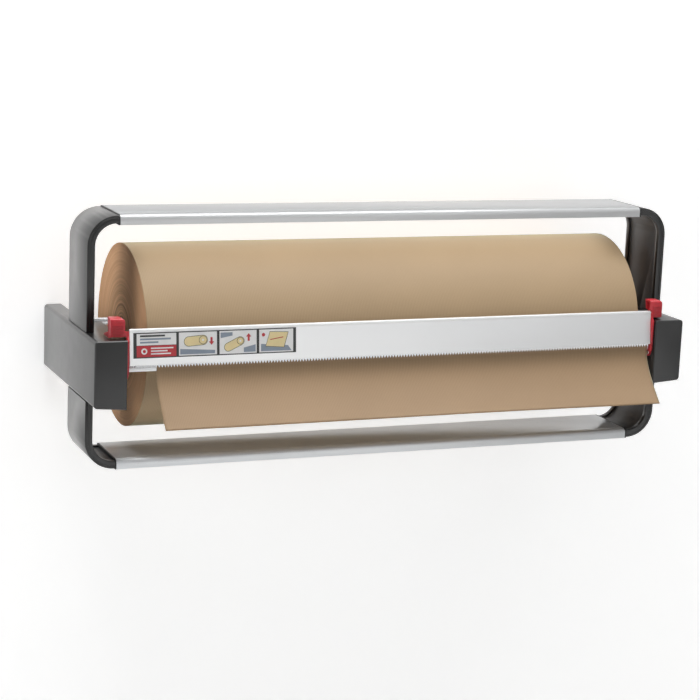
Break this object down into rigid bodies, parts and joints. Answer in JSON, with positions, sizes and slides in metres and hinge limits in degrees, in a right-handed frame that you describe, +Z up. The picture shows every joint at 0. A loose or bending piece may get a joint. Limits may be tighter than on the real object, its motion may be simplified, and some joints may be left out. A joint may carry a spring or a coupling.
{
  "type": "wall mounted paper roll dispenser",
  "caption": "Wall-mounted dispenser for a wide roll of gift wrap, with a loose axle, a frame of rails and bent arms, and a sprung toothed bar that tears the paper.",
  "frame": {"origin": "on the wall plane, midway between the housings, at the height of the axle", "axes": "+X to the right as seen from the front, +Y into the wall, +Z up"},
  "size_m": [0.89, 0.3212, 0.351],
  "materials": {
    "housing": "satin black coat with a fine grain",
    "side_plate": "satin black",
    "arm_band": "satin black coat",
    "trim": "satin black moulding",
    "aluminium": "satin anodised",
    "steel": "bright zinc",
    "lever": "red moulding",
    "label": "printed and laminated",
    "paper": "ribbed brown kraft",
    "core": "wound board"
  },
  "bodies": {
    "frame": {"right_housing": "housing", "left_housing": "housing", "right_side_plate": "side_plate", "left_side_plate": "side_plate", "right_upper_plate_screw": "steel", "left_upper_plate_screw": "steel", "right_lower_plate_screw": "steel", "left_lower_plate_screw": "steel", "right_axle_saddle": "trim", "left_axle_saddle": "trim", "right_wall_bracket": "steel", "left_wall_bracket": "steel", "right_bracket_screw": "steel", "left_bracket_screw": "steel", "right_upper_arm_band": "arm_band", "left_upper_arm_band": "arm_band", "right_lower_arm_band": "arm_band", "left_lower_arm_band": "arm_band", "right_upper_arm_shell": "trim", "left_upper_arm_shell": "trim", "right_lower_arm_shell": "trim", "left_lower_arm_shell": "trim", "right_upper_arm_screw": "steel", "left_upper_arm_screw": "steel", "right_lower_arm_screw": "steel", "left_lower_arm_screw": "steel", "right_upper_rail_plug": "trim", "left_upper_rail_plug": "trim", "right_lower_rail_plug": "trim", "left_lower_rail_plug": "trim", "top_rail": "aluminium", "bottom_rail": "aluminium", "guide_bar": "aluminium", "right_guide_nut": "steel", "left_guide_nut": "steel", "right_return_spring": "steel", "left_return_spring": "steel", "paper_sheet": "paper"},
    "cutter": {"cutter_bar": "aluminium", "serrated_blade": "steel", "instruction_label": "label", "right_lever": "lever", "left_lever": "lever", "right_pivot_pin": "steel", "left_pivot_pin": "steel"},
    "axle": {"axle_rod": "steel"},
    "roll": {"cardboard_core": "core", "paper_roll": "paper"}
  },
  "joints": [
    {"name": "cutter_tilt", "type": "hinge", "parent": "frame", "child": "cutter", "pos_m": [0, -0.269, -0.0475], "axis": [1, 0, 0], "range_deg": [0, 15], "stiffness_Nm_per_rad": 0.6, "springref_deg": -34.38},
    {"name": "axle_lift", "type": "slide", "parent": "frame", "child": "axle", "axis": [0, 0, 1], "range_m": [0, 0.02]},
    {"name": "roll_turn", "type": "hinge", "parent": "axle", "child": "roll", "pos_m": [0.008, -0.133, -0.0197], "axis": [1, 0, 0], "continuous": true}
  ]
}
